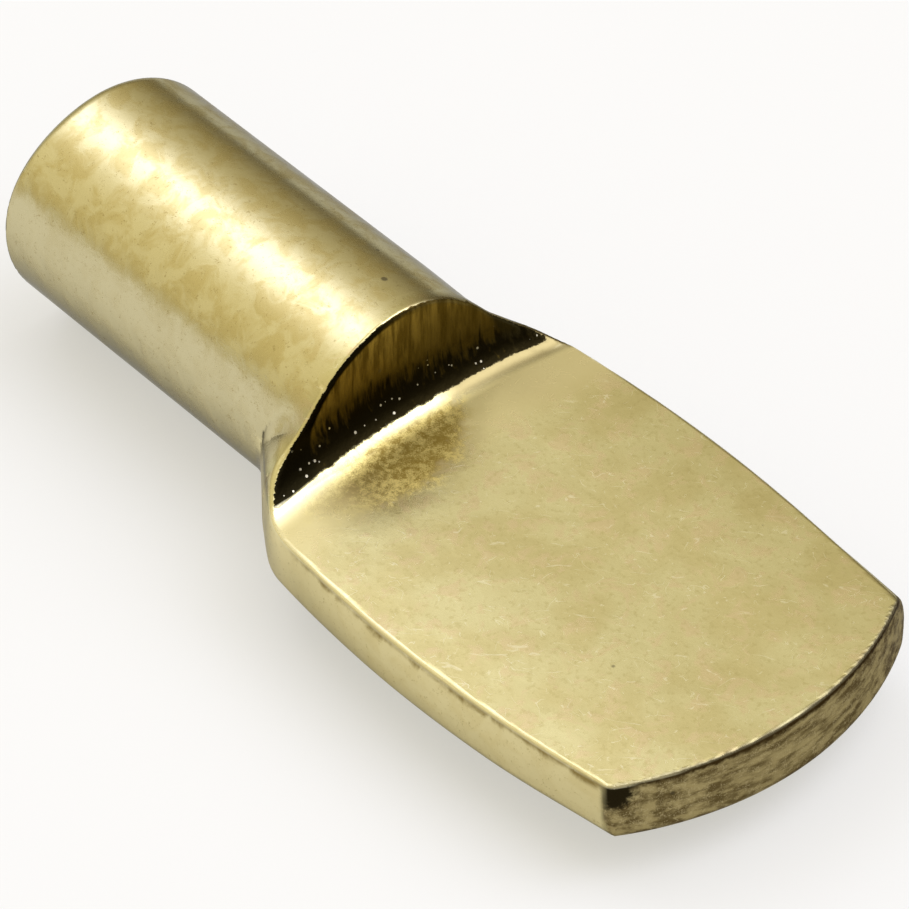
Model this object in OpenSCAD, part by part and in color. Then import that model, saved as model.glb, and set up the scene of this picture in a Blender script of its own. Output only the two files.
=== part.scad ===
// Spoon shelf pin: a round shank that plugs into a cabinet side, pressed out
// at its front end into a flat paddle that the shelf rests on.
// X runs along the shank towards the paddle and Z is up. The origin is on the
// shank's axis at the mouth of its hole, where the flanks come to a stop. Each
// module below counts X from the top edge of the shoulder.

/* [Shank] */
// Diameter of the shank
shank_d = 6.3; // [5.6:0.05:7.2]
// Length of the shank, from its tail to the shoulder
shank_len = 11.5; // [8:0.1:18]
// Rounding of the tail's rim
tail_round = 0.4; // [0.1:0.05:1]

/* [Paddle] */
// Length of the paddle, from the shoulder to its tip
paddle_len = 13.9; // [11:0.1:20]
// Width across the paddle's belly
paddle_w = 9.8; // [9:0.1:12]
// Distance from the shoulder to the widest place
belly_x = 5.7; // [4:0.1:7]
// Radius of the long sides, seen from above
side_r = 47; // [35:1:90]
// Radius of the cut front end, seen from above
end_r = 8.3; // [7:0.1:14]
// Thickness of the paddle
paddle_t = 2; // [1.5:0.1:2.6]
// How far the pressed sides swell past the top edge
side_swell = 0.22; // [0.1:0.02:0.4]
// Rounding along the bottom edge
bottom_round = 0.45; // [0.1:0.05:0.6]

/* [Shoulder] */
// Lean of the shoulder's face, in degrees
shoulder_draft = 3.5; // [0:0.5:8]
// Radius of the root, where the shoulder meets the paddle
root_r = 0.5; // [0.2:0.05:1]

/* [Neck] */
// Distance behind the shoulder at which the flanks' top edges leave the shank
neck_len = 1.3; // [1:0.1:1.8]
// Angle of the flanks to the shank, in degrees
flank_angle = 37; // [32:1:44]
// Radius between flank and long side, seen from above
corner_r = 5; // [2:0.1:6]
// Angle round the shank at which a wing springs from it, in degrees
wing_spring = 29; // [26:1:36]
// Angle at which the wings fall away behind the shoulder, in degrees
wing_fall = 38; // [30:1:50]
// How far the press draws the shank in, from the hole's mouth to the shoulder
press_draw = 0.03; // [0.02:0.01:0.08]

/* [Heel] */
// Radius under the shank's front end
heel_r = 3; // [2:0.1:5]
// Distance behind the shoulder at which the heel starts to rise
heel_len = 2.2; // [1.8:0.1:4]
// Radius between the heel and the paddle's underside
heel_fillet = 0.4; // [0.2:0.05:0.8]

/* [Hidden] */
$fn = 64;
fine_fn = 240;
far = 30;                       // reaches past the whole pin
graze = 0.002;                  // arcs run this far past what they blend into, to cross it
wing_slope = 45;                // wings fall sideways at this angle
wing_inset = 0.03;              // wings stand back this far from the paddle's edge
wing_root = 0.5;                // and reach this deep into it
shank_r = shank_d / 2;
half_w = paddle_w / 2;
side_centre = [belly_x, half_w - side_r];

// Neck of one side, seen from above: a flank and the arc that turns it forward
flank_dir = [cos(flank_angle), sin(flank_angle)];
flank_in = [sin(flank_angle), -cos(flank_angle)];
corner_y = half_w + side_swell - corner_r;
corner_foot = [-neck_len, shank_r] + corner_r * flank_in;
corner_centre = corner_foot + (corner_y - corner_foot.y) / flank_dir.y * flank_dir;

// Lowest point of a flank, where it leaves the shank first and meets the hole
mouth_x = -neck_len - (shank_r - sqrt(shank_r * shank_r - paddle_t * paddle_t)) / tan(flank_angle);

// Root of the shoulder: its corner with the paddle, and the fillet's length
root_x = shank_r * tan(shoulder_draft);
root_run = root_r * tan((90 - shoulder_draft) / 2);
root_end = root_x + root_run;

// Swell of the pressed wall: an arc through the top and bottom edges
swell_r = (pow(paddle_t / 2, 2) + pow(side_swell, 2)) / (2 * side_swell);

// Section of a long side, out to its top edge at [side_r, 0]
module side_section() {
    swell_x = side_r + side_swell - swell_r;
    rise = paddle_t / 2 - bottom_round;
    round_x = swell_x + sqrt(pow(swell_r - bottom_round, 2) - rise * rise);
    out = [round_x - swell_x, -rise] / (swell_r - bottom_round);
    difference() {
        union() {
            translate([0, -paddle_t]) square([side_r, paddle_t]);
            intersection() {
                translate([swell_x, -paddle_t / 2]) circle(swell_r);
                translate([side_r - 1, -paddle_t]) square([2, paddle_t]);
            }
        }
        translate([round_x, bottom_round - paddle_t]) bottom_waste(out);
    }
}

// What lies outside the bottom rounding, up to where it meets the wall
module bottom_waste(out) {
    past = bottom_round + 1;
    difference() {
        polygon([[0, 0], past * out, [past, -past], [0, -past]]);
        circle(bottom_round + graze);
    }
}

// Section of the cut front end, rounded along the bottom
module end_section() {
    translate([0, bottom_round - paddle_t]) square([end_r, paddle_t - bottom_round]);
    translate([0, -paddle_t]) square([end_r - bottom_round, paddle_t]);
    translate([end_r - bottom_round, bottom_round - paddle_t]) circle(bottom_round);
}

module long_side() {
    translate(side_centre) rotate_extrude($fn = fine_fn) side_section();
}

// Everything inside the flank and the corner arc of one side, seen from above
module neck_side(inset = 0) {
    arc_r = corner_r - inset;
    translate(corner_centre) {
        circle(arc_r);
        translate([0, -far]) square([far, 2 * far]);
        rotate(flank_angle) translate([-far, -far]) square([far, far + arc_r - graze]);
    }
}

module front_end() {
    translate([paddle_len - end_r, 0, 0]) {
        rotate_extrude() end_section();
        translate([-far, -end_r, -paddle_t]) cube([far, 2 * end_r, paddle_t]);
    }
}

// The flattened paddle with its neck
module paddle() {
    intersection() {
        long_side();
        mirror([0, 1, 0]) long_side();
        translate([0, 0, -paddle_t]) linear_extrude(paddle_t) intersection() {
            neck_side();
            mirror([0, 1]) neck_side();
        }
        front_end();
    }
}

// Metal pressed up beside the shank: its roof falls outward and to the back
module wing() {
    wing_top = shank_r * sin(wing_slope);
    intersection() {
        translate([0, 0, -wing_root]) linear_extrude(wing_root + wing_top) intersection() {
            neck_side(wing_inset);
            translate(side_centre) circle(side_r - wing_inset, $fn = fine_fn);
            translate([-far, shank_r / 2]) square([far + root_end, far]);
        }
        rotate([-wing_slope, 0, 0])
            translate([0, 0, shank_r * sin(wing_slope + wing_spring)])
                rotate([0, -wing_fall, 0])
                    translate([-far, -far, -far]) cube([2 * far, 2 * far, far]);
    }
}

// Round bar that the pin is pressed from: plain inside the hole, then drawn in
module shank_bar() {
    plain_len = shank_len + mouth_x;
    bar_len = shank_len + root_end;
    rim_r = shank_r - tail_round;
    translate([-shank_len, 0, 0]) rotate([0, 90, 0]) rotate_extrude() {
        polygon([
            [0, 0], [rim_r, 0], [rim_r, tail_round], [shank_r, tail_round],
            [shank_r, plain_len], [shank_r - press_draw, bar_len], [0, bar_len]
        ]);
        translate([rim_r, tail_round]) circle(tail_round);
    }
}

// Drawn in the XZ plane and carried through the whole width
module across() {
    rotate([90, 0, 0]) linear_extrude(2 * far, center = true) children();
}

// Space above the paddle, in front of the shoulder's leaning face
module shoulder_cut() {
    lean = tan(shoulder_draft);
    centre = [root_end, root_r];
    root_top = [root_x - root_run * sin(shoulder_draft), root_run * cos(shoulder_draft)];
    across() {
        translate(centre) circle(root_r + graze);
        polygon([
            [root_end, 0], [far, 0], [far, far], [root_x - far * lean, far], root_top, centre
        ]);
    }
}

// Space under the paddle, in front of the heel
module heel_cut() {
    heel_z = heel_r - shank_r;
    fillet_z = -paddle_t - heel_fillet;
    fillet_x = sqrt(pow(heel_r + heel_fillet, 2) - pow(heel_z - fillet_z, 2)) - heel_len;
    across() difference() {
        translate([-heel_len, -far]) square([far, far - paddle_t]);
        translate([-heel_len, heel_z]) circle(heel_r);
        difference() {
            polygon([[-heel_len, heel_z], [fillet_x, fillet_z], [fillet_x, -paddle_t]]);
            translate([fillet_x, fillet_z]) circle(heel_fillet + graze);
        }
    }
}

module pin() {
    color([0.79, 0.71, 0.46])
        translate([-mouth_x, 0, 0])
            difference() {
                union() {
                    shank_bar();
                    paddle();
                    wing();
                    mirror([0, 1, 0]) wing();
                }
                shoulder_cut();
                heel_cut();
            }
}

pin();
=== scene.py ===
import math
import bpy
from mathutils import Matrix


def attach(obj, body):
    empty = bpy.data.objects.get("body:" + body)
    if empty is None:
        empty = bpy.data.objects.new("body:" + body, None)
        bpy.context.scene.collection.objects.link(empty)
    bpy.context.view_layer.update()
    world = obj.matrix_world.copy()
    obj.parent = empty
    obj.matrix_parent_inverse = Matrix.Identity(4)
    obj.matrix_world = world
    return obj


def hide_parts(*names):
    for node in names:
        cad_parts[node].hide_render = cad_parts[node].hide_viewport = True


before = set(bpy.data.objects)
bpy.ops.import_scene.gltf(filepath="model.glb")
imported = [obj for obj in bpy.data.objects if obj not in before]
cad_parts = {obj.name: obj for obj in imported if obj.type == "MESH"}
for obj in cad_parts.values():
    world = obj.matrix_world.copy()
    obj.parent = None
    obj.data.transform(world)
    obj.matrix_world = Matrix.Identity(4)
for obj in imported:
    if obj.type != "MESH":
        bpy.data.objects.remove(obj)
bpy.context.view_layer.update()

from types import SimpleNamespace

import bpy
import numpy as np
from mathutils import Matrix, Vector

MM = 0.001
MICRON = 1e-6

# Sizes of the pin in millimetres, in its own frame: X along the shank towards
# the paddle, Z up, the paddle's flat top at z = 0. Right is towards +Y. Centres
# are (x, y) seen from above, and (x, z) for the heel.
SHANK_R = 3.15                # round bar
DRAW = 0.03                   # how far the press drew the bar in at the shoulder
TAIL_X = -9.249               # lower end of the tail's face
TAIL_SKEW = 0.015             # how far that face leans forward, per mm of height
TAIL_ROUND = 0.45             # rounding of the tail's rim, high on its right
TAIL_ROUND_LESS = 0.35        # and how much less it is low on its left

SHOULDER_X = 2.15             # face that the press left, at mid width and z = 0
SHOULDER_BOW = 0.015          # how far its ends come forward, per square mm
SHOULDER_LEAN = 0.07          # how far it leans forward, per mm of height
SHOULDER_TWIST = 0.0125       # and how much less towards the right, per mm
SHOULDER_EDGE = 0.12          # rounding of its top edge
ROOT_R = 1.1                  # radius between shoulder and paddle, at mid width
ROOT_TAPER = 0.09             # how much it shrinks towards the right, per mm

WING_X = 2.25                 # front of the metal pressed up beside the bar
WING_TOP = 4.33               # its roof there, as |y| + z
WING_FALL = (0.2, 0.666)      # slope of the roof behind that, right and left
WING_CURL = 0.4               # how fast the slope grows
WING_LIMIT = 2.1              # highest place that a wing reaches
WING_FILLET = 0.15            # between wing and bar

THICKNESS = 2.0               # of the paddle
TOP_EDGE = 0.09               # rounding along its top edge
NECK_EDGE = 0.2               # extra rounding there, at the neck
BOTTOM_ROUND = 0.45           # rounding along its bottom edge
BOTTOM_CHANGE = 0.06          # more of it on the left, and less at the front
FLANK = math.radians(37)      # angle between flank and bar
FLANK_X = 0.95                # where a flank's top edge leaves the bar
CORNER_AT = (5.238, 0.1)      # arc between flank and long side
CORNER_R = 5.0
SIDE_AT = (7.95, -42.1)       # arc of a long side
SIDE_R = 47.0
SIDE_BLEND = 0.05             # between those two arcs
TIP_AT = 7.744                # arc of the cut front end, on the middle line
TIP_R = 8.4
TIP_CORNER = 0.1              # rounding between front end and long side
SWELL = 0.06                  # how far the pressed walls swell between their edges
BELLY_SWELL = 0.14            # more of it at the widest place
BELLY_REACH = 4.2             # how far along that spreads
FRONT_BULGE = 0.4             # and more again at the front right corner
SHEAR_FRONT = 0.07            # how far the underside was pressed sideways, per mm
SHEAR_NECK = 0.02             # and how far the other way, ahead of the neck

HEEL_AT = (0.05, -0.15)       # arc under the bar's front end
HEEL_R = 3.0
HEEL_EDGE = 0.1               # rounding between bar and heel
BAR_END = 1.95                # where the bar ends, inside the paddle's neck
SIDE_CREASE = 0.13            # fillet between bar and paddle, below the top
HEEL_CREASE = 0.27            # extra fillet under the heel

# Grid lines of each axis, as (start, spacing) of each stretch and then the end.
# They are closest at the shoulder, the rims and the paddle's edges.
GRID_X = ((-9.4, 0.09), (-8.55, 0.18), (-0.6, 0.08), (1.7, 0.045), (2.9, 0.08), (3.8, 0.14),
          (14.95, 0.08), (16.3, 0))
GRID_Y = ((-5.25, 0.088), (5.25, 0))
GRID_Z = ((-3.3, 0.1), (-2.1, 0.06), (-1.5, 0.1), (-0.3, 0.045), (0.15, 0.07), (3.3, 0))


# ---------------------------------------------------------------- the form

def ease(value, low, high):
    """0 at low, 1 at high, eased between; falls where low > high."""
    t = np.clip((value - low) / (high - low), 0, 1)
    return t * t * (3 - 2 * t)


def within(a, b, r):
    """What lies in both forms, with their shared edge rounded to r."""
    return np.minimum(np.maximum(a, b), -r) + np.hypot(np.maximum(a + r, 0), np.maximum(b + r, 0))


def joined(a, b, r):
    """What lies in either form, with a fillet of r in the corner between."""
    return -within(-a, -b, r)


def side_wall(x, y, z, bulge):
    """Distance outside the right long side, its corner arc and its flank.

    The wall swells between its edges, by bulge more at the front corner.
    """
    px, py = x - CORNER_AT[0], y - CORNER_AT[1]
    flank = (y - SHANK_R) * math.cos(FLANK) - (x - FLANK_X) * math.sin(FLANK)
    past_flank = px * math.cos(FLANK) + py * math.sin(FLANK) > 0
    neck = np.where(px >= 0, py - CORNER_R,
                    np.where(past_flank, np.hypot(px, py) - CORNER_R, flank))
    drum = np.hypot(x - SIDE_AT[0], y - SIDE_AT[1]) - SIDE_R
    belly = np.exp(-((x - SIDE_AT[0]) / BELLY_REACH) ** 2)
    swell = SWELL + BELLY_SWELL * belly + bulge * ease(x, 12, 15)
    level = z / (THICKNESS / 2) + 1
    return within(neck, drum, SIDE_BLEND) - swell * (1 - level ** 2)


def side_walls(x, y, z):
    """Distance outside both long sides."""
    return np.maximum(side_wall(x, y, z, FRONT_BULGE), side_wall(x, -y, z, 0.0))


def tip_wall(x, y):
    """Distance outside the cut front end."""
    return np.hypot(x - TIP_AT, y) - TIP_R


def shoulder_plane(x, y, z):
    """The face that the press left at the front of the shank, its ends drawn forward."""
    ends = SHOULDER_BOW * y ** 2 + 0.1 * np.maximum(y - 3.2, 0)
    return x - (SHOULDER_X + ends + z * (SHOULDER_LEAN - SHOULDER_TWIST * y))


def wing_roof(x, y, z):
    """Roof of the metal pressed up beside the shank, curving down behind."""
    back = WING_X - x
    fall = np.where(y > 0, *WING_FALL)
    top = WING_TOP - fall * back - WING_CURL * np.maximum(back, 0) ** 2
    slope = fall + 2 * WING_CURL * np.maximum(back, 0)
    roof = (np.abs(y) + z - top) / np.hypot(math.sqrt(2), slope)
    return np.maximum(roof, z - WING_LIMIT)


def sheared(x, y, z):
    """Sideways place in the paddle, whose underside was pressed off to one side."""
    return y + z * (SHEAR_FRONT * ease(x, 11, 15.5) - SHEAR_NECK * ease(x, 1, 5))


def shelf_face(x, y, z):
    """The paddle's top: it falls a hair to its long sides and ramps up to the root."""
    fall = 0.009 * np.maximum(-1 - y, 0) ** 2 + 0.008 * np.maximum(y - 1.8, 0) ** 2
    ramp = 0.11 * ease(y, -0.6, 1.2) * (1 - ease(y, 3.2, 4.3))
    return z + fall - ramp * np.clip(1 - (x - SHOULDER_X) / 1.5, 0, 1) ** 2


def pin_form(x, y, z):
    """Distance outside the whole pin, negative in the metal."""
    round_bar = np.hypot(y, z) - SHANK_R + DRAW * ease(x, 0, SHOULDER_X)

    # Paddle: its outline, then its bottom, then its top with shoulder and wings
    slab_y = sheared(x, y, z)
    plan = within(side_walls(x, slab_y, z), tip_wall(x, slab_y), TIP_CORNER)
    bottom = (BOTTOM_ROUND + BOTTOM_CHANGE * ease(y, 1, -3)
              - BOTTOM_CHANGE * ease(x, 13.5, 15.2))
    slab = within(plan, -THICKNESS - z, bottom)
    crown = joined(wing_roof(x, y, z), np.maximum(round_bar, -0.5 - x), WING_FILLET)
    upper = within(shoulder_plane(x, y, z), crown, SHOULDER_EDGE)
    top = joined(shelf_face(x, y, z), upper, ROOT_R - ROOT_TAPER * np.clip(y, -4, 4))
    paddle = within(slab, top, TOP_EDGE + NECK_EDGE * (1 - ease(x, 1.75, 3.35)))

    # Bar: from the tail to the heel
    tail = TAIL_X + TAIL_SKEW * (z + SHANK_R) - x
    rim = TAIL_ROUND - TAIL_ROUND_LESS * ease(y + z, 2.5, -2.5)
    heel = np.hypot(np.maximum(x - HEEL_AT[0], 0), np.minimum(z - HEEL_AT[1], 0)) - HEEL_R
    bar = within(within(round_bar, tail, rim), np.maximum(heel, x - BAR_END), HEEL_EDGE)

    crease = (SIDE_CREASE * (1 - ease(z, -0.3, 0))
              + HEEL_CREASE * (1 - ease(z, -2.2, -1.8)) * ease(x, 1.5, 2))
    return joined(paddle, bar, crease)


def slopes(x, y, z, step=1e-3):
    """Unit normals of the form, and how fast it grows along them."""
    grown = np.stack([
        pin_form(x + step, y, z) - pin_form(x - step, y, z),
        pin_form(x, y + step, z) - pin_form(x, y - step, z),
        pin_form(x, y, z + step) - pin_form(x, y, z - step),
    ], axis=1) / (2 * step)
    rate = np.linalg.norm(grown, axis=1)
    return grown / rate[:, None], rate


def spaced(stretches):
    """Grid lines of (start, spacing) stretches, the last one being the end."""
    lines = []
    for (start, gap), (end, _) in zip(stretches, stretches[1:]):
        count = max(1, round((end - start) / gap))
        lines.extend(np.linspace(start, end, count, endpoint=False))
    return np.array(lines + [stretches[-1][0]])


def skin(lines):
    """Closed quads where the form crosses zero, one point in each crossed cell."""
    grid = np.meshgrid(*lines, indexing="ij")
    value = pin_form(*grid)
    inside = value < 0
    cells = tuple(len(axis) - 1 for axis in lines)
    total = np.zeros((3,) + cells)
    hits = np.zeros(cells)
    crossings = []
    for axis in range(3):
        low = tuple(slice(None, -1) if a == axis else slice(None) for a in range(3))
        high = tuple(slice(1, None) if a == axis else slice(None) for a in range(3))
        at = np.argwhere(inside[low] != inside[high])
        far = at + np.eye(3, dtype=int)[axis]
        v0, v1 = value[tuple(at.T)], value[tuple(far.T)]
        share = v0 / (v0 - v1)
        spot = np.stack([lines[a][at[:, a]] for a in range(3)])
        spot[axis] += share * (lines[axis][far[:, axis]] - lines[axis][at[:, axis]])
        u, v = (axis + 1) % 3, (axis + 2) % 3
        around = []
        for du, dv in ((0, 0), (1, 0), (1, 1), (0, 1)):
            cell = at.copy()
            cell[:, u] -= du
            cell[:, v] -= dv
            around.append(cell)
            place = tuple(cell.T)
            np.add.at(hits, place, 1)
            for a in range(3):
                np.add.at(total[a], place, spot[a])
        crossings.append((around, v0 < 0))
    used = hits > 0
    index = np.full(cells, -1)
    index[used] = np.arange(used.sum())
    points = (total[:, used] / hits[used]).T
    quads = []
    for around, leaving in crossings:
        ring = np.stack([index[tuple(cell.T)] for cell in around], axis=1)
        quads.append(np.where(leaving[:, None], ring, ring[:, ::-1]))
    return points, np.concatenate(quads)


def settled(points, rounds=4, longest=0.05):
    """Points drawn onto the form along its normals, in rounds of short moves."""
    for _ in range(rounds):
        normal, rate = slopes(*points.T)
        gap = pin_form(*points.T) / rate
        points = points - np.clip(gap, -longest, longest)[:, None] * normal
    return points


def zones(points, normals):
    """How far each point belongs to each of the pin's faces, from 0 to 1.

    They are the cut front end, the paddle's pressed wall, the shoulder's face,
    the rim round the paddle's top, and the round shank.
    """
    x, y, z = points.T
    nx, ny, nz = normals.T
    slab_y = sheared(x, y, z)
    ahead = (nx * (x - TIP_AT) + ny * y) / TIP_R
    cut = ease(tip_wall(x, slab_y), -0.2, -0.05) * ease(ahead, 0.25, 0.6) * (x > 13)
    upright = ease(np.abs(nz), 0.8, 0.55)
    wall = (ease(side_walls(x, slab_y, z), -0.2, -0.04) * upright * (1 - cut)
            * ease(z, 0.3, 0.0) * ease(x, 0.4, 1.2))
    shoulder = ease(nx, 0.5, 0.75) * (z > 0) * (x < 3.3)
    # The rim zone carries a painted highlight along the paddle's top edge, faded at the front
    # right
    rim = (ease(shelf_face(x, y, z), -0.14, -0.05)
           * ease(nz, 0.97, 0.85) * ease(nz, 0.15, 0.35) * (x > 3.0)
           * (1 - 0.8 * ease(x, 13.6, 14.4) * ease(y, -5, -1)))
    shank = ease(x, 2.35, 1.85) * ease(SHANK_R - np.hypot(y, z), 0.1, 0.0)
    return {"cut": cut, "wall": wall, "shoulder": shoulder, "rim": rim, "shank": shank}


def make_pin():
    """The whole pin as one closed skin, with its zones as attributes."""
    points, quads = skin([spaced(stretches) for stretches in (GRID_X, GRID_Y, GRID_Z)])
    points = settled(points)
    normals, _ = slopes(*points.T)
    mesh = bpy.data.meshes.new("pin_skin")
    mesh.from_pydata((points * MM).tolist(), [], quads.tolist())
    mesh.shade_smooth()
    mesh.normals_split_custom_set_from_vertices(normals.tolist())
    for name, amount in zones(points, normals).items():
        layer = mesh.attributes.new(name, "FLOAT", "POINT")
        layer.data.foreach_set("value", np.ascontiguousarray(amount, dtype=np.float32))
    piece = bpy.data.objects.new("pin_skin", mesh)
    bpy.context.scene.collection.objects.link(piece)
    return piece


# ---------------------------------------------------------------- finishes

class Amount:
    """One output of a finish; arithmetic on it adds Math nodes."""

    def __init__(self, finish, socket):
        self.finish, self.socket = finish, socket

    def math(self, operation, *values):
        return self.finish.node("Math", dict(enumerate(values)), operation=operation)

    def __add__(self, other):
        return self.math("ADD", self, other)

    def __sub__(self, other):
        return self.math("SUBTRACT", self, other)

    def __rsub__(self, other):
        return self.math("SUBTRACT", other, self)

    def __mul__(self, other):
        return self.math("MULTIPLY", self, other)

    def __abs__(self):
        return self.math("ABSOLUTE", self)

    def __pow__(self, other):
        return self.math("POWER", self, other)

    __radd__ = __add__
    __rmul__ = __mul__


class Finish:
    """The nodes that make a material, or the light of the world."""

    def __init__(self, owner):
        owner.use_nodes = True
        self.owner = owner
        self.tree = owner.node_tree
        self.tree.nodes.clear()

    def node(self, kind, sockets=None, out=0, **settings):
        """A node of a kind, with its settings and the values or links of its sockets."""
        made = self.tree.nodes.new("ShaderNode" + kind)
        for name, value in settings.items():
            setattr(made, name, value)
        for key, value in (sockets or {}).items():
            if isinstance(value, Amount):
                self.tree.links.new(value.socket, made.inputs[key])
            else:
                made.inputs[key].default_value = value
        return Amount(self, made.outputs[out]) if len(made.outputs) else None

    def larger(self, a, b):
        return self.node("Math", {0: a, 1: b}, operation="MAXIMUM")

    def smaller(self, a, b):
        return self.node("Math", {0: a, 1: b}, operation="MINIMUM")

    def scaled(self, vector, by):
        """A place or a colour times a number."""
        return self.node("VectorMath", {0: vector, "Scale": by}, operation="SCALE")

    def distance(self, place, centre, stretch=None):
        """How far the place is from the centre, after a stretch of both along the axes."""
        if stretch:
            place = self.node("VectorMath", {0: place, 1: stretch}, operation="MULTIPLY")
            centre = tuple(c * s for c, s in zip(centre, stretch))
        return self.node("VectorMath", {0: place, 1: centre}, out="Value", operation="DISTANCE")

    def blend(self, share, a, b):
        """Two colours mixed by a share."""
        colours = {6: a, 7: b}
        for key, value in colours.items():
            if not isinstance(value, Amount):
                colours[key] = (*value, 1)
        return self.node("Mix", {0: share, **colours}, out=2, data_type="RGBA")

    def step(self, value, low, high):
        """0 below low, 1 above high, eased between; falls where low > high."""
        return self.node("MapRange", {"Value": value, "From Min": low, "From Max": high},
                         interpolation_type="SMOOTHSTEP")

    def noise(self, place, scale, detail=2.0, rough=0.5, bend=0.0):
        return self.node("TexNoise", {"Vector": place, "Scale": scale, "Detail": detail,
                                      "Roughness": rough, "Distortion": bend})

    def drawn(self, place, along, turn=0.0):
        """The place drawn out, so that a pattern on it runs in streaks."""
        return self.node("Mapping", {"Vector": place, "Rotation": (0, 0, math.radians(turn)),
                                     "Scale": along}, vector_type="TEXTURE")

    def scrape(self, place, scale, width, keep):
        """Thin curling lines, broken up so that only some show."""
        bend = self.noise(place, scale, 1.5, 0.4, 0.6)
        line = self.step(abs(bend - 0.5), width, width * 0.3)
        return line * self.step(self.noise(place, scale * 1.7, 1), keep, keep + 0.06)

    def pocks(self, place, scale, size, keep):
        """Small round dots of many sizes, in only some of the cells."""
        cell = {"Vector": place, "Scale": scale, "Randomness": 1.0}
        near = self.node("TexVoronoi", cell, out="Distance")
        hue = Amount(self, near.socket.node.outputs["Color"])
        lot = self.node("SeparateColor", {0: hue}, out=0)
        chosen = self.step(lot, keep, 1.0)
        return self.step(near - chosen * size, 0.02, -0.02)

    def surface(self, **sockets):
        """The finished material: one shader with these sockets."""
        shader = self.node("BsdfPrincipled", {k.replace("_", " "): v for k, v in sockets.items()})
        self.node("OutputMaterial", {"Surface": shader})
        return self.owner


def plating_patterns(f):
    """What the plating's colours share: zones, places in millimetres and noises."""
    p = SimpleNamespace()
    p.place = f.scaled(f.node("TexCoord", out="Object"), 1 / MM)
    p.along, p.side, p.height = (f.node("SeparateXYZ", {0: p.place}, out=axis) for axis in "XYZ")
    p.cut, p.wall, p.shoulder, p.rim, p.shank = (
        f.node("Attribute", out="Fac", attribute_name=name)
        for name in ("cut", "wall", "shoulder", "rim", "shank"))

    p.wave = f.noise(p.place, 0.75, 2)
    p.cloud = f.noise(p.place, 0.4, 2, 0.6)
    p.blotch = f.noise(p.place, 1.5, 4, 0.62, 0.5)
    p.mottle = f.noise(p.place, 6.5, 3, 0.65)
    p.grain = f.noise(p.place, 30, 1)
    p.specks = f.step(p.mottle * 0.6 + p.grain * 0.4, 0.58, 0.66)
    p.pits = f.pocks(p.place, 0.9, 0.08, 0.8)
    scrapes = f.scrape(p.place, 1.3, 0.007, 0.56) + f.scrape(p.place, 2.9, 0.012, 0.56)
    ticks = f.scrape(f.drawn(p.place, (4, 1, 1), 40), 3.1, 0.014, 0.58)
    p.marks = f.smaller(scrapes + ticks, 1.0)

    # Streaks up the shoulder's face, and across the cut front end
    p.upright = f.noise(f.drawn(p.place, (1, 1, 9)), 5, 3, 0.65)
    p.across = f.noise(f.drawn(p.place, (1, 6, 1.4)), 5, 3, 0.65)

    # The shoulder's foot is torn, except at its left end
    torn = f.step(p.height, 1.2, 0.7) * f.step(p.side, -3.5, -2.6)
    p.shoulder = f.step(p.shoulder + torn * (0.9 * p.blotch + 0.5 * p.mottle - 0.7), 0.35, 0.6)

    # In front of the root: a mottled patch, duller plating on both sides of it, and painted
    # shade:
    # a dark line in the crease along the shoulder's foot on the right
    bow = p.along - SHOULDER_BOW * p.side * p.side
    open_top = (1 - p.shank) * (1 - p.wall)
    front = f.step(bow, 2.7, 3.0) * open_top
    patch = f.distance(p.place, (2.6, -1.4, 0), stretch=(1 / 2.2, 1 / 2.9, 0))
    p.rubbed = (front * f.step(patch + 0.5 * p.blotch + 0.25 * p.mottle, 1.42, 1.2)
                * (0.25 + 0.75 * f.step(p.side, -3.4, -1.2)))
    p.right = f.step(p.side + 0.8 * p.blotch, -1.2, 0.6)
    p.dulled = (front * f.step(bow, 4.9, 3.6) * (1 - p.rubbed)
                * (p.right + f.step(p.side, -1.9, -3.0)))
    p.foot_line = f.step(bow, 3.0, 2.75) * f.step(p.side, 0.3, 1.6) * open_top
    return p


def paddle_colour(f, p):
    """Plating of the paddle: clouded, mottled and scratched, with a mottled patch near the root
    and painted shade along the shoulder's foot on the right.
    """
    light, deep = (0.645, 0.59, 0.315), (0.59, 0.52, 0.255)
    coppery, fleck, scratch = (0.635, 0.52, 0.29), (0.48, 0.415, 0.18), (0.78, 0.73, 0.50)
    dull_left, dull_right = (0.64, 0.56, 0.28), (0.60, 0.52, 0.245)
    dull_end, foot = (0.46, 0.39, 0.18), (0.22, 0.18, 0.08)
    rubbed_left, rubbed_right = (0.86, 0.72, 0.27), (0.68, 0.56, 0.20)
    patch_dark = (0.29, 0.205, 0.040)

    colour = f.blend(f.step(p.cloud, 0.4, 0.62), light, deep)
    colour = f.blend(f.step(p.blotch, 0.5, 0.64) * 0.75, colour, coppery)
    colour = f.blend(f.step(p.mottle, 0.5, 0.7) * 0.5, colour, fleck)
    colour = f.blend(p.marks * 0.5, colour, scratch)
    colour = f.blend(p.dulled, colour, f.blend(p.right, dull_left, dull_right))
    colour = f.blend(p.dulled * f.step(p.side, 1.2, 3.0) * 0.8, colour, dull_end)
    # Painted shade: a dark line in the crease along the shoulder's foot on the right
    colour = f.blend(p.foot_line, colour, foot)
    # A mottled patch in front of the root, lighter on the left and darker in places
    patch_darkened = f.step(p.blotch * 0.4 + p.mottle * 0.35 + p.grain * 0.25, 0.41, 0.58)
    patch_colour = f.blend(f.step(p.side, -2.4, -0.8), rubbed_left, rubbed_right)
    return f.blend(p.rubbed, colour, f.blend(patch_darkened, patch_colour, patch_dark))


def shank_colour(f, p):
    """Plating of the shank: warmer, with ochre blotches and dark specks."""
    light, ochre = (0.64, 0.575, 0.325), (0.53, 0.44, 0.19)
    lower, speck = (0.60, 0.535, 0.32), (0.34, 0.26, 0.10)

    colour = f.blend(f.step(p.blotch, 0.40, 0.62) * 0.8, light, ochre)
    colour = f.blend(f.step(p.side, -2.6, -2.9) * 0.8, colour, lower)
    return f.blend(p.specks * 0.6, colour, speck)


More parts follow.
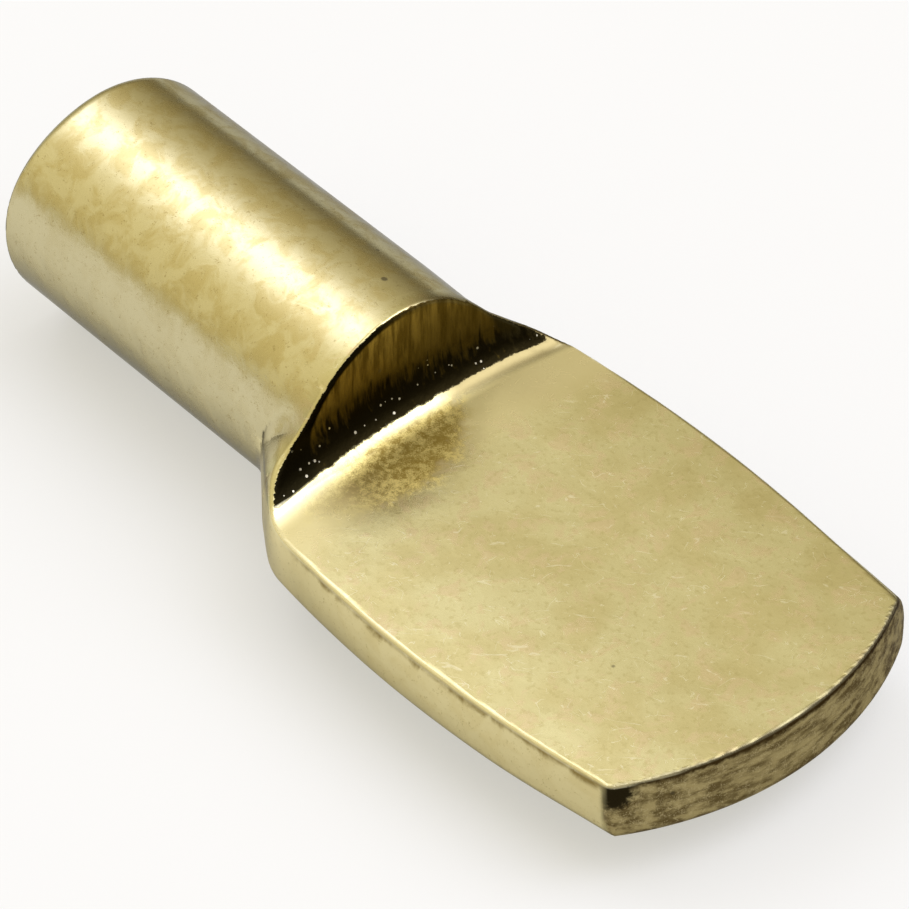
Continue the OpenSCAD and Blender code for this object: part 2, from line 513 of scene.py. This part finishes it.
def wall_colour(f, p):
    """Plating of the pressed walls: painted lighter at the neck, with a dark strip under the top.
    """
    light, deep = (0.70, 0.61, 0.32), (0.63, 0.53, 0.25)
    neck, speck, strip = (0.90, 0.80, 0.46), (0.33, 0.25, 0.08), (0.22, 0.155, 0.04)

    colour = f.blend(f.step(p.blotch, 0.4, 0.7) * 0.5, light, deep)
    # Painted light: the walls are made lighter towards the neck, where their reflection falls
    # darker
    colour = f.blend(f.step(p.along, 4.8, 2.6), colour, neck)
    colour = f.blend(p.specks * 0.5, colour, speck)
    under_top = f.step(p.height + p.blotch * 0.5, -0.12, 0.08) * f.step(p.along, 3.4, 5.2)
    return f.blend(under_top * 0.9, colour, strip)


def cut_colour(f, p):
    """The cut front end: brushed across, thinly plated, dark along its top."""
    light, dark = (0.37, 0.30, 0.135), (0.125, 0.09, 0.033)
    bright, edge, blot = (0.50, 0.42, 0.22), (0.045, 0.028, 0.008), (0.02, 0.015, 0.006)

    colour = f.blend(f.step(p.across, 0.36, 0.64), light, dark)
    colour = f.blend(f.step(p.grain * 0.5 + p.mottle * 0.5, 0.52, 0.62) * 0.5, colour, bright)
    colour = f.blend(f.step(p.height + p.mottle * 0.3, -0.14, 0.02), colour, edge)
    left_corner = f.distance(p.place, (14.95, -4.35, -0.3))
    return f.blend(f.step(left_corner + p.mottle * 0.7, 1.05, 0.75), colour, blot)


def shoulder_colour(f, p):
    """The struck shoulder: streaked and darker at its foot, partly its own dark face and partly
    painted shade; a painted shadow along its rim; painted glints.
    """
    light, dark = (0.17, 0.12, 0.03), (0.075, 0.05, 0.01)
    low, outer, black = (0.05, 0.034, 0.006), (0.035, 0.027, 0.009), (0.012, 0.009, 0.003)
    rim_shadow, painted_glints = (0.010, 0.008, 0.003), (0.60, 0.56, 0.42)
    from_axis = f.distance(p.place, (0, 0, 0), stretch=(0, 1, 1))

    colour = f.blend(f.step(p.upright, 0.36, 0.66), light, dark)
    # Darker towards the foot: partly the struck face's own dark surface, partly painted shade in
    # the corner by the root
    colour = f.blend(f.step(p.height + p.side * -0.3, 2.5, 1.2) * 0.6, colour, low)
    colour = f.blend(f.step(from_axis, 3.1, 3.25), colour, outer)
    # Near-black foot in streaks: partly its own dark surface, partly painted shade in the corner
    # by the root
    dark_and_shaded_foot = f.step(p.height + 2.4 * p.upright + abs(p.side + 0.6) * 0.15, 2.75, 2.1)
    colour = f.blend(dark_and_shaded_foot, colour, black)
    # Painted shadow: a dark line just inside the rim on the left, as in a groove under the
    # shank's edge
    rim_shadow_mask = f.step(from_axis + 0.16 * p.blotch, 2.96, 3.06) * f.step(p.side, 1.2, -0.6)
    colour = f.blend(rim_shadow_mask, colour, rim_shadow)
    # Painted highlights: small bright glints scattered over the dark foot
    return f.blend(f.pocks(p.place, 6.8, 0.26, 0.68) * dark_and_shaded_foot, colour, painted_glints)


def brass_plate():
    """Brass plating over pressed steel: satin, mottled, scratched and pocked."""
    rubbed_rim, pit, edge_tint = (0.78, 0.72, 0.46), (0.10, 0.08, 0.04), (0.40, 0.41, 0.45, 1)
    f = Finish(bpy.data.materials.new("brass_plate"))
    p = plating_patterns(f)

    colour = f.blend(p.shank, paddle_colour(f, p), shank_colour(f, p))
    colour = f.blend(p.wall, colour, wall_colour(f, p))
    colour = f.blend(p.cut, colour, cut_colour(f, p))
    colour = f.blend(p.shoulder, colour, shoulder_colour(f, p))
    # Painted highlight: a pale colour along the rim round the paddle's top
    colour = f.blend(p.rim * 0.7, colour, rubbed_rim)
    colour = f.blend(p.pits * 0.8, colour, pit)

    metal = 1 - 0.45 * p.rubbed - 0.7 * p.dulled
    rough = 0.19 + 0.06 * f.step(p.blotch, 0.4, 0.65) + 0.06 * p.mottle + 0.05 * p.marks
    rough = (rough + p.wall * 0.08 + p.cut * 0.24 + p.shoulder * 0.1 + p.pits * 0.2
             + p.rubbed * 0.08)

    # Heights in microns; the shank waves less, except low on its left
    relief = ((12 - 8 * p.shank) * p.wave + 3 * p.blotch + 1.2 * p.mottle
              + p.shank * f.step(p.side, -1.0, -2.4) * (30 * p.wave + 10 * p.blotch)
              + 6 * p.rubbed * p.mottle
              + p.wall * (10 * p.blotch + 2 * p.mottle)
              + p.cut * (14 * p.across + 8 * p.mottle)
              + p.shoulder * (12 * p.upright + 5 * p.mottle))
    bump = f.node("Bump", {"Strength": 1.0, "Distance": MICRON, "Height": relief})
    return f.surface(Base_Color=colour, Metallic=metal, Roughness=rough, Normal=bump,
                     Specular_Tint=edge_tint)


def pale_floor():
    """Plain pale floor that shows white and keeps a soft shadow."""
    grey, white, glow = (0.40, 0.405, 0.415, 1), (1, 1, 1, 1), 0.44
    f = Finish(bpy.data.materials.new("pale_floor"))
    seen = f.node("LightPath", out="Is Camera Ray")
    for ray in ("Is Glossy Ray", "Is Transmission Ray"):
        seen = f.larger(seen, f.node("LightPath", out=ray))
    matt = f.node("BsdfDiffuse", {"Color": grey})
    shine = f.node("Emission", {"Color": white, "Strength": seen * glow})
    f.node("OutputMaterial", {"Surface": f.node("AddShader", {0: matt, 1: shine})})
    return f.owner


def soft_studio():
    """A warm room under pale overhead glows that fade out softly."""
    room, at_horizon = (0.26, 0.22, 0.14), 0.35
    # Where each glow is, how fast it fades from there, and its colour
    glows = (((-0.60, 0.03, 0.80), 20.0, (1.2, 1.3, 1.8)),
             ((-0.61, 0.02, 0.792), 60.0, (0.75, 0.75, 1.0)),
             ((0.38, 0.45, 0.81), 11.0, (3.9, 4.0, 4.7)),
             ((-0.33, -0.42, 0.846), 0.8, (0.79, 0.74, 0.54)))
    f = Finish(bpy.data.worlds.new("soft_studio"))
    toward = f.node("TexCoord", out="Generated")
    rise = abs(f.node("SeparateXYZ", {0: toward}, out="Z"))
    light = f.scaled(room, at_horizon + (1 - at_horizon) * f.step(rise, 0.03, 0.13))
    for centre, falloff, colour in glows:
        facing = f.node("VectorMath", {0: toward, 1: centre}, out="Value",
                        operation="DOT_PRODUCT")
        glow = f.scaled(colour, f.larger(facing, 0.0) ** falloff)
        light = f.node("VectorMath", {0: light, 1: glow}, operation="ADD")
    f.node("OutputWorld", {"Surface": f.node("Background", {"Color": light, "Strength": 1.0})})
    return f.owner


# ---------------------------------------------------------------- the scene

def make_floor(half=1.5):
    """A wide sheet under the shank, reaching half, in metres, to each side."""
    level = -SHANK_R * MM
    corners = [(sx * half, sy * half, level) for sx, sy in ((-1, -1), (1, -1), (1, 1), (-1, 1))]
    mesh = bpy.data.meshes.new("floor")
    mesh.from_pydata(corners, [], [(0, 1, 2, 3)])
    mesh.materials.append(pale_floor())
    sheet = bpy.data.objects.new("floor", mesh)
    bpy.context.scene.collection.objects.link(sheet)


def make_camera(azimuth, elevation, roll, lens, target, distance):
    """A camera that looks at the target, with angles in degrees and lengths in mm."""
    a, e, r = (math.radians(value) for value in (azimuth, elevation, roll))
    back = Vector((math.sin(a) * math.cos(e), -math.cos(a) * math.cos(e), math.sin(e)))
    right = (-back).cross(Vector((0, 0, 1))).normalized()
    up = right.cross(-back)
    right, up = (math.cos(r) * right + math.sin(r) * up, math.cos(r) * up - math.sin(r) * right)
    data = bpy.data.cameras.new("camera")
    data.sensor_width, data.lens, data.clip_start = 36, lens, 5 * MM
    camera = bpy.data.objects.new("camera", data)
    turn = Matrix((right, up, back)).transposed().to_4x4()
    camera.matrix_world = Matrix.Translation((Vector(target) + back * distance) * MM) @ turn
    bpy.context.scene.collection.objects.link(camera)
    bpy.context.scene.camera = camera


make_camera(azimuth=52.09, elevation=42.77, roll=-3.07, lens=242.28,
            target=(4.286, 0.022, 0.0), distance=144.37)
bpy.context.scene.view_settings.view_transform = "Standard"

make_floor()
bpy.context.scene.world = soft_studio()

pin = make_pin()
pin.data.materials.append(brass_plate())
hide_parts("pin")
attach(pin, "root")
